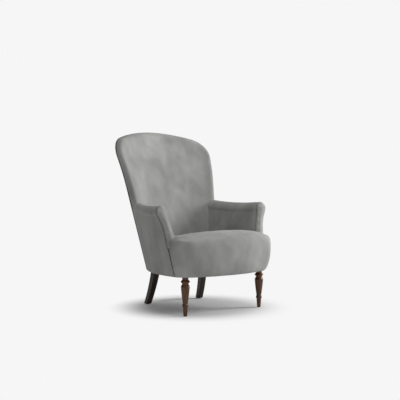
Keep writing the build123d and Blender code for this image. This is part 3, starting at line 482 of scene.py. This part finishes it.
def outline(inset, bottom):
    """Front outline of the back as (x, z), from the left foot over the crown to the right."""
    tilt = atan(BACK_FLARE)
    reach = BACK_HALF - SHOULDER_R
    top = BACK_TOP_Z - SHOULDER_Z
    crown_r = (reach**2 + top**2 - SHOULDER_R**2) / (2 * (top - SHOULDER_R))
    crown_z = BACK_TOP_Z - crown_r
    join = atan2(SHOULDER_Z - crown_z, reach)
    small = SHOULDER_R - inset
    touch = (reach + small * cos(tilt), SHOULDER_Z - small * sin(tilt))
    foot = (touch[0] - BACK_FLARE * (touch[1] - bottom), bottom)
    side = np.linspace(foot, touch, SIDE_COUNT)
    way = np.linspace(-tilt, join, SHOULDER_COUNT)
    shoulder = np.stack([reach + small * np.cos(way), SHOULDER_Z + small * np.sin(way)], 1)
    way = np.linspace(join, pi / 2, CROWN_COUNT)
    high = crown_r - inset
    crown = np.stack([high * np.cos(way), crown_z + high * np.sin(way)], 1)
    right = np.vstack([side, shoulder[1:], crown[1:]])
    return np.vstack([right * [-1, 1], right[:-1][::-1]])


def back_patch(inset, bottom, surface):
    """Grid that fills the outline at an inset, lifted on to a surface y(x, z)."""
    line = outline(inset, bottom)
    at = SIDE_COUNT - 1 + SHOULDER_COUNT // 2
    left, right = line[:at + 1], line[len(line) - at - 1:][::-1]
    top = line[at:len(line) - at]
    flat = coons(left, right, np.linspace(left[0], right[0], len(top)), top)
    return np.stack([flat[..., 0], surface(flat[..., 0], flat[..., 1]), flat[..., 1]], -1)


INSIDE_FOOT_Z = 0.345     # the cover goes on down behind the seat to here
roll = [(0.055, 0.0), (0.048, 0.0), (0.041, 0.0), (0.034, 0.0003)]
for angle in np.radians(np.arange(0, 91, 9)):
    roll.append((RIM_R * (1 - sin(angle)) - 0.001 * sin(angle), RIM_R * (1 - cos(angle)) + 0.0003))
rows = []
for inset, depth in roll:
    line = outline(inset, INSIDE_FOOT_Z)
    rows.append(np.stack([line[:, 0], hollow_y(line[:, 0], line[:, 1]) + depth, line[:, 1]], 1))
front_rim = rows[-1]
for share in np.linspace(0.08, 1, 12):
    inset = -0.001 - 0.0022 * sin(pi * share) + 0.0035 * max(0.0, share - 0.8) / 0.2
    line = outline(inset, INSIDE_FOOT_Z)
    seam = rear_y(line[:, 0], line[:, 1]) - 0.0045
    y = front_rim[:, 1] + share * (seam - front_rim[:, 1])
    rows.append(np.stack([line[:, 0], y, line[:, 1]], 1))
inside_back = piece("inside_back", [back_patch(0.055, INSIDE_FOOT_Z, hollow_y), np.array(rows)],
                    velvet, swell=0.0009, seed=23, outward=(0, 0.33, 0.7))
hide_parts("inside_back_cover", "back_foam")

# ======================================================================= outside back
# A taut panel over the bowed rear, turned in at its edges, with piping in the seam all round.
TURN_IN = 0.006
painted_shade_velvet = velvet_material("painted_shade_velvet", "585857", "474746")   # painted shade: a darker velvet for the turned edges, piping and seams
rows = []
for inset, depth in ((0.010, 0.0), (0.005, 0.0004), (0.0015, 0.0016), (0.0012, TURN_IN)):
    line = outline(inset, HEM_Z)
    rows.append(np.stack([line[:, 0], rear_y(line[:, 0], line[:, 1]) - depth, line[:, 1]], 1))
panel = back_patch(0.010, HEM_Z, rear_y)
hem = np.stack([panel[0] + [0, -0.014 * k, -0.0005 * sin(pi * k)] for k in (0, 0.3, 0.65, 1)])
outside_back = piece("outside_back", [panel, np.array(rows), hem], velvet, swell=0.0005, seed=31,
                     outward=(0, 0.0, 0.6))
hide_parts("outside_back_cover")


def even_line(points, n):
    """n points spread evenly along a polyline."""
    p = np.array(points, float)
    far = np.concatenate([[0], np.cumsum(np.linalg.norm(np.diff(p, axis=0), axis=1))])
    even = np.linspace(0, far[-1], n)
    return np.stack([np.interp(even, far, p[:, k]) for k in range(p.shape[1])], 1)


def tube(line, radius, sides=10):
    """Grid round a line of points: circles square to it, closed round."""
    ahead = np.gradient(line, axis=0)
    ahead /= np.linalg.norm(ahead, axis=1)[:, None]
    side = np.cross(ahead, [0.0, 1.0, 0.0])
    side /= np.linalg.norm(side, axis=1)[:, None]
    up = np.cross(side, ahead)
    way = np.linspace(0, 2 * pi, sides + 1)
    return (line[:, None] + radius * (np.cos(way)[None, :, None] * side[:, None]
                                      + np.sin(way)[None, :, None] * up[:, None]))


WELT_R = 0.0030
line = outline(-0.0022, HEM_Z)
welt_line = np.stack([line[:, 0], rear_y(line[:, 0], line[:, 1]) - 0.0042, line[:, 1]], 1)
# The piping is in the darker velvet: painted shade along the outline of the back.
welt = piece("back_piping", [tube(even_line(welt_line, 420), WELT_R)], painted_shade_velvet)
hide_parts("back_welt")

# ======================================================================= arms
# Each arm is a padded inside that rolls outwards over the arm rail and tucks in underneath.
# The cover is pleated where the roll turns down, and pulled tight round the front.
SIDE_BOW = 0.031          # bow of the side at the underside
ARM_ROWS = 90
ARM_LENGTH = 0.350
ARM_TOP_Z = 0.607
ARM_DIP = 0.008           # the roll sags by this half way along
ROLL_R = 0.036            # radius of the roll at its front
ROLL_SHRINK = 0.022       # the roll gets thinner to the back by this share of its length
ARM_PAD_FOOT_Z = 0.335    # the cover goes on down beside the seat to here
TUCK_ANGLE = 0.61         # the roll tucks in this far below its middle, in radians
ARM_FRONT_TURN = 0.011    # the inside face turns outwards by this at the front
# Each pleat's place along the arm, and its share of the depth.
PLEATS = ((0.16, 1.0), (0.47, 0.7), (0.56, 0.8), (0.86, 0.6))
PLEAT_DEPTH = 0.0055


def mirrored(points):
    """The same points on the other side of the chair's middle plane."""
    return points * np.array([-1.0, 1.0, 1.0])


def arm_size(y):
    """Middle x, top z and roll radius of the arm at y."""
    along = (y - ARM_FRONT_Y) / ARM_LENGTH
    radius = ROLL_R - ROLL_SHRINK * (y - ARM_FRONT_Y)
    sag = ARM_DIP * np.sin(pi * np.clip(along, 0, 1))
    top = ARM_TOP_Z - sag + 0.004 * np.maximum(0, along) ** 2
    return guide_x(y), top, radius


def arm_line(y, foot):
    """Section of the arm's cover at y: up the inside, over the roll and under to the tuck."""
    x, top, radius = arm_size(y)
    shoulder = (inner_x(y, top - 0.052), top - 0.052)
    low = (inner_x(y, foot), foot)
    middle = top - radius
    over = arc3(shoulder, (x - 0.76 * radius, middle + 0.62 * radius), (x, top), 30)
    tuck = (x + radius * cos(TUCK_ANGLE), middle - radius * sin(TUCK_ANGLE))
    down = arc3((x, top), (x + radius * cos(0.48), middle + radius * sin(0.48)), tuck, 40)
    under = smooth_line([tuck, (tuck[0] - 0.006, tuck[1] - 0.004),
                         (tuck[0] - 0.020, tuck[1] - 0.001)], 10)
    return np.vstack([np.linspace(low, shoulder, 34)[:-1], over[:-1], down, under[1:]])


def arm_grid(foot, end_share):
    """Grid over the arm from the leaning front plane to its end inside the back."""
    grid = []
    for share in np.linspace(0, 1, ARM_ROWS) ** 0.9:
        middle_y = face_y(0.56) + share * (end_share - face_y(0.56))
        line = arm_line(middle_y, foot)
        end = corner_y(line[:, 1]) - 0.016
        y = face_y(line[:, 1]) + share * (end - face_y(line[:, 1]))
        x = line[:, 0] + guide_x(y) - guide_x(middle_y)
        grid.append(np.stack([x, y, line[:, 1]], 1))
    return np.array(grid)


arm = arm_grid(ARM_PAD_FOOT_Z, 0.17)
x_mid, top, radius = arm_size(arm[..., 1])
out = np.stack([arm[..., 0] - x_mid, arm[..., 2] - (top - radius)], -1)
out /= np.maximum(np.linalg.norm(out, axis=-1, keepdims=True), 1e-6)
turning = np.clip(-(out[..., 1] - 0.25) / 0.8, 0, 1) * (arm[..., 0] > x_mid)
start, end = arm[0, :, 1], arm[-1, :, 1]
share = (arm[..., 1] - start) / (end - start)
for place, depth in PLEATS:
    drift = place + 0.012 * (1 - turning)
    fold = np.exp(-((share - drift) / 0.008) ** 2)
    puff = np.exp(-((share - drift - 0.022) / 0.012) ** 2)
    cut = fold - 0.45 * puff
    arm[..., 0] -= PLEAT_DEPTH * depth * cut * turning * out[..., 0]
    arm[..., 2] -= PLEAT_DEPTH * depth * cut * turning * out[..., 1]
# Towards the front the inside turns outwards, and its edge is drawn in to the facing's seam.
turn_in = np.clip((x_mid - arm[..., 0]) / 0.040, 0, 1)
arm[..., 0] += ARM_FRONT_TURN * turn_in * np.exp(-(arm[..., 1] - start) / 0.024)
drawn = np.exp(-((arm[..., 1] - start) / 0.0035))
arm[..., 0] -= 0.0024 * drawn * out[..., 0]
arm[..., 2] -= 0.0024 * drawn * out[..., 1]

# The outside arm is a taut skin from the tuck to the hem, bowed in plan.
PANEL_TOP_Z = 0.574
levels = np.concatenate([np.linspace(HEM_Z, 0.235, 6), np.linspace(0.245, PANEL_TOP_Z, 54)])
side_panel = []
for z in levels:
    bow = SIDE_BOW * (1 - 0.75 * (z - HEM_Z) / (0.549 - HEM_Z))
    front = np.array([panel_x(z), face_y(z)])
    rear = np.array([side_x(z), corner_y(z)])
    middle = (front + rear) / 2 + [bow, bow / 4]
    line = arc3(front, middle, rear, 60)
    side_panel.append(np.column_stack([line, np.full(60, z)]))
side_panel = np.array(side_panel)
near_front = np.exp(-(side_panel[..., 1] - side_panel[:, :1, 1]) / 0.004)
side_panel[..., 0] -= 0.0030 * near_front
near_rear = np.exp(-(side_panel[:, -1:, 1] - side_panel[..., 1]) / 0.004)
side_panel[..., 0] -= 0.0016 * near_rear
turned = side_panel[0][None] + np.array([[[-0.004 * k, 0, 0]] for k in range(4)])

# The facing is a shallow pad on the arm front, rounded at its edge and sewn on round its outline.
FACING_T = 0.017
FACING_R = 0.0110
FACING_FOOT_Z = 0.372
lean = np.array([0.0, -1.0, 0.2]) / np.hypot(1.0, 0.2)


def facing_line():
    """Outline of the facing as (x, z): up the inside, over the roll, down the outside."""
    y = face_y(0.56)
    x, top, radius = arm_size(y)
    middle = top - radius
    shoulder = (inner_x(face_y(top - 0.052), top - 0.052), top - 0.052)
    low = (inner_x(face_y(FACING_FOOT_Z), FACING_FOOT_Z), FACING_FOOT_Z)
    tuck = (x + radius * cos(TUCK_ANGLE), middle - radius * sin(TUCK_ANGLE))
    over = arc3(shoulder, (x - 0.76 * radius, middle + 0.62 * radius), (x, top), 30)
    down = arc3((x, top), (x + radius * cos(0.48), middle + radius * sin(0.48)), tuck, 30)
    fall = arc3(tuck, (panel_x(0.490), 0.490), (panel_x(0.430), 0.430), 40)
    foot = np.array([[panel_x(FACING_FOOT_Z) - 0.001, FACING_FOOT_Z]])
    line = even_line(np.vstack([[low], over, down[1:], fall[1:], foot]), 220)
    line[:, 0] += ARM_FRONT_TURN * np.clip((x - line[:, 0]) / 0.040, 0, 1)
    return line


def facing_grid():
    """Rings of the facing, from its sewn edge over the rounding and in to its middle line."""
    line = facing_line()
    along = np.gradient(line, axis=0)
    along /= np.linalg.norm(along, axis=1)[:, None]
    inward = np.stack([along[:, 1], -along[:, 0]], 1)
    top = line[:, 1].max() - 0.038
    spine_z = np.clip(line[:, 1], FACING_FOOT_Z, top)
    half = len(line) // 2
    rise_side, fall_side = line[:half], line[half:][::-1]
    mid_x = (np.interp(spine_z, rise_side[:, 1], rise_side[:, 0])
             + np.interp(spine_z, fall_side[:, 1], fall_side[:, 0])) / 2
    spine = np.stack([mid_x, spine_z], 1)
    far = np.concatenate([[0], np.cumsum(np.linalg.norm(np.diff(line, axis=0), axis=1))])
    pucker = 0.0004 * np.sin(2 * pi * far / 0.016) + 0.0008 * np.sin(2 * pi * far / 0.043 + 1)
    steps = [(0.0030, 0.0), (0.0008, 0.0018), (-0.0004, 0.0050)]
    for angle in np.radians(np.arange(0, 91, 10)):
        steps.append((FACING_R * (1 - cos(angle)) - 0.0004,
                      FACING_T - FACING_R * (1 - sin(angle))))
    rings = []
    for inset, height in steps:
        flat = line + inward * inset
        lift = height + pucker * (inset > 0.001) * min(1.0, height / FACING_T)
        rings.append((flat, lift))
    last, lift = rings[-1]
    for share in np.linspace(0.06, 1, 16):
        flat = last + share * (spine - last)
        crowned = FACING_T + 0.0045 * (1 - (1 - share) ** 2)
        rings.append((flat, crowned + pucker * (1 - share) ** 3))
    grid = []
    for flat, lift in rings:
        on_plane = np.stack([flat[:, 0], face_y(flat[:, 1]), flat[:, 1]], 1)
        grid.append(on_plane + lean * np.broadcast_to(lift, (len(flat),))[:, None])
    return np.array(grid)


facing = facing_grid()

# The facing and the front of the outside arm are sewn down by hand, so the seam wanders a little.
SEAM_R = 0.0017
rim = facing_line()
falls = rim[np.argmax(rim[:, 1]):]
down_z = np.linspace(FACING_FOOT_Z, HEM_Z + 0.003, 60)[1:]
seam_line = even_line(np.vstack([falls, np.stack([panel_x(down_z) - 0.0012, down_z], 1)]), 300)
wander = ripple(np.stack([seam_line[:, 1]] * 3, 1), 0.016, 71)
seam_line[:, 0] += 0.0011 * wander
seam_line = np.stack([seam_line[:, 0], face_y(seam_line[:, 1]) - 0.0006, seam_line[:, 1]], 1)
front_seam = tube(seam_line, SEAM_R, 8)
for side, flip in (("right", np.array), ("left", mirrored)):
    way = 1 if side == "right" else -1
    cover = piece(side + "_arm", [flip(arm)], velvet, swell=0.0006, seed=41 + way,
                  outward=(way * 0.31, 0.0, 0.53))
    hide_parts(side + "_inside_arm_cover", side + "_arm_foam")
    skin = piece(side + "_outside_arm", [flip(side_panel), flip(turned)], velvet, swell=0.0004,
                 seed=51 + way, outward=(0, 0, 0.4))
    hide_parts(side + "_outside_arm_cover")
    front = piece(side + "_facing", [flip(facing)], velvet, swell=0.0003, seed=61 + way,
                  outward=(way * 0.34, 0.0, 0.5))
    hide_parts(side + "_arm_facing")
    # The seam is in the darker velvet: painted shade in the crease beside the facing.
    seam = piece(side + "_front_seam", [flip(front_seam)], painted_shade_velvet)

# ======================================================================= dust cover
# A black non-woven lining under the seat, stapled to the rails, cut out round the legs.
LINING_IN = 0.006
STAPLE_PITCH = 0.036
cover_z = HEM_Z + 0.0004
plan = seat_plan(-LINING_IN)
front_part = plan[SIDE_POINTS - 1:len(plan) - SIDE_POINTS + 1]
corner = np.array([side_x(BASE_Z) - LINING_IN, REAR_CORNER_Y - LINING_IN])
face_end = front_part[-1]
side_arc = arc3(face_end, (face_end + corner) / 2 + [SIDE_BOW, 0.008], corner, 50)
left_line = side_arc[::-1] * [-1, 1]
rear_arc = arc3(corner * [-1, 1], (0, 0.164 - LINING_IN), corner, len(front_part))
flat = coons(side_arc[::-1] * [-1, 1], side_arc[::-1], rear_arc, front_part)
u = np.linspace(-1, 1, flat.shape[1])[None, :]
v = np.linspace(-1, 1, flat.shape[0])[:, None]
sag = 0.0022 * ((1 - u**2) * (1 - v**2))
lining_grid = np.concatenate([flat, (cover_z - sag)[..., None]], -1)
lining = piece("dust_cover_cloth", [lining_grid], felt)
bm = bmesh.new()
bm.from_mesh(lining.data)
leg_holes = [(-0.265, -0.322, 0.0185), (0.265, -0.322, 0.0185),
             (-0.173, 0.100, 0.0205), (0.173, 0.100, 0.0205)]
gone = [f for f in bm.faces
        if any(max(abs(f.calc_center_median().x - x), abs(f.calc_center_median().y - y)) < r
               for x, y, r in leg_holes)]
bmesh.ops.delete(bm, geom=gone, context="FACES")
area = sum(f.calc_area() for f in bm.faces)
bm.to_mesh(lining.data)
bm.free()
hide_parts("dust_cover")

edge_line = np.vstack([front_part, side_arc[1:], rear_arc[::-1][1:-1], left_line[:-1]])
edge_line = even_line(edge_line, int(2.1 / STAPLE_PITCH))
heading = np.gradient(edge_line, axis=0)
heading /= np.linalg.norm(heading, axis=1)[:, None]
inward = np.stack([-heading[:, 1], heading[:, 0]], 1)
spots = edge_line + 0.009 * inward
wire, crown_half = 0.0005, 0.0055
verts, faces = [], []
for spot, ahead, side in zip(spots, heading, inward):
    base = len(verts)
    for z in (cover_z - 0.0001, cover_z - 0.0009):
        for a, b in ((-1, -1), (1, -1), (1, 1), (-1, 1)):
            flat_spot = spot + ahead * crown_half * a + side * wire * b
            verts.append((flat_spot[0], flat_spot[1], z))
    for quad in ((3, 2, 1, 0), (4, 5, 6, 7), (0, 1, 5, 4),
                 (1, 2, 6, 5), (2, 3, 7, 6), (3, 0, 4, 7)):
        faces.append([base + k for k in quad])
staple_mesh = bpy.data.meshes.new("staples")
staple_mesh.from_pydata(verts, [], faces)
staple_mesh.materials.append(zinc)
staples = bpy.data.objects.new("staples", staple_mesh)
bpy.context.scene.collection.objects.link(staples)
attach(staples, "root")

# ======================================================================= legs
# Turned front legs and square raked back legs in dark stained beech under a satin lacquer, the
# back legs darker still as painted shade.
front_stain = wood_material("stained_front_leg", "643C17", "170B04", 0.30, 0.20, 2)
# Painted shade: the back legs get darker colours than the front ones, for the shade under the
# seat.
back_stain_and_shade = wood_material("stained_and_shaded_back_leg", "2A170A", "0D0602", 0.36, 0.10, 2)
finish_nodes(front_stain, "left_front_leg", "right_front_leg")
finish_nodes(back_stain_and_shade, "left_back_leg", "right_back_leg")
finish_nodes(nylon, "floor_glides")

# ======================================================================= studio
# A seamless pale floor, a large soft light from the front right, and an even white room.
BACKGROUND = colour("F6F6F6")
FLOOR_ALBEDO = 0.60
ROOM_DARK, ROOM_BRIGHT = 0.02, 0.84   # light of the room behind the chair and before it
ROOM_WAY = (0.60, -0.64, 0.48)        # the brightest part of the room lies this way


def floor_material():
    """Matt pale floor near the chair that fades into the plain background further off."""
    made = bpy.data.materials.new("studio_floor")
    made.use_nodes = True
    tree = made.node_tree
    tree.nodes.clear()
    place = add_node(tree, "ShaderNodeTexCoord").outputs["Object"]
    away = add_node(tree, "ShaderNodeVectorMath", {"operation": "DISTANCE"}, Vector=place)
    away.inputs[1].default_value = (0, -0.11, 0)
    blend = add_node(tree, "ShaderNodeMapRange", {"interpolation_type": "SMOOTHSTEP"},
                     Value=away.outputs["Value"], From_Min=0.28, From_Max=0.56)
    matt = add_node(tree, "ShaderNodeBsdfDiffuse",
                    Color=[FLOOR_ALBEDO, FLOOR_ALBEDO, FLOOR_ALBEDO, 1])
    plain = add_node(tree, "ShaderNodeEmission", Color=BACKGROUND)
    mixed = tree.nodes.new("ShaderNodeMixShader")
    tree.links.new(blend.outputs[0], mixed.inputs[0])
    tree.links.new(matt.outputs[0], mixed.inputs[1])
    tree.links.new(plain.outputs[0], mixed.inputs[2])
    add_node(tree, "ShaderNodeOutputMaterial", Surface=mixed.outputs[0])
    return made


floor_mesh = bpy.data.meshes.new("floor")
floor_corners = [(-60, -60, 0), (60, -60, 0), (60, 60, 0), (-60, 60, 0)]
floor_mesh.from_pydata(floor_corners, [], [(0, 1, 2, 3)])
floor_mesh.materials.append(floor_material())
floor = bpy.data.objects.new("floor", floor_mesh)
bpy.context.scene.collection.objects.link(floor)

world = bpy.data.worlds.new("studio")
bpy.context.scene.world = world
world.use_nodes = True
tree = world.node_tree
tree.nodes.clear()
seen = add_node(tree, "ShaderNodeLightPath").outputs["Is Camera Ray"]
way = add_node(tree, "ShaderNodeTexCoord").outputs["Generated"]
facing_light = add_node(tree, "ShaderNodeVectorMath", {"operation": "DOT_PRODUCT"}, Vector=way)
facing_light.inputs[1].default_value = ROOM_WAY
level = add_node(tree, "ShaderNodeMapRange", Value=facing_light.outputs["Value"], From_Min=-0.7,
                 From_Max=0.9, To_Min=ROOM_DARK, To_Max=ROOM_BRIGHT)
tint = add_node(tree, "ShaderNodeMixRGB", Fac=seen, Color1=level.outputs[0], Color2=BACKGROUND)
room = add_node(tree, "ShaderNodeBackground", Color=tint.outputs[0])
add_node(tree, "ShaderNodeOutputWorld", Surface=room.outputs[0])


def area_light(name, place, target, size, power):
    """A square soft light that faces a point."""
    lamp = bpy.data.lights.new(name, "AREA")
    lamp.size = size
    lamp.energy = power
    made = bpy.data.objects.new(name, lamp)
    made.location = place
    made.rotation_euler = (Vector(target) - Vector(place)).to_track_quat("-Z", "Y").to_euler()
    bpy.context.scene.collection.objects.link(made)


area_light("key", (3.7, -1.8, 1.9), (0, 0, 0.5), 1.6, 200)
area_light("top", (0.1, -0.4, 3.2), (0, 0, 0.3), 1.8, 28)

camera_data = bpy.data.cameras.new("camera")
camera_data.sensor_width = 36
camera_data.lens = 83.57
camera = bpy.data.objects.new("camera", camera_data)
camera.location = (-3.2407, -4.4283, 0.8734)
aim = Vector((0.0171, -0.080, 0.6237)) - camera.location
camera.rotation_euler = aim.to_track_quat("-Z", "Y").to_euler()
bpy.context.scene.collection.objects.link(camera)

bpy.context.scene.camera = camera
bpy.context.scene.view_settings.view_transform = "Standard"
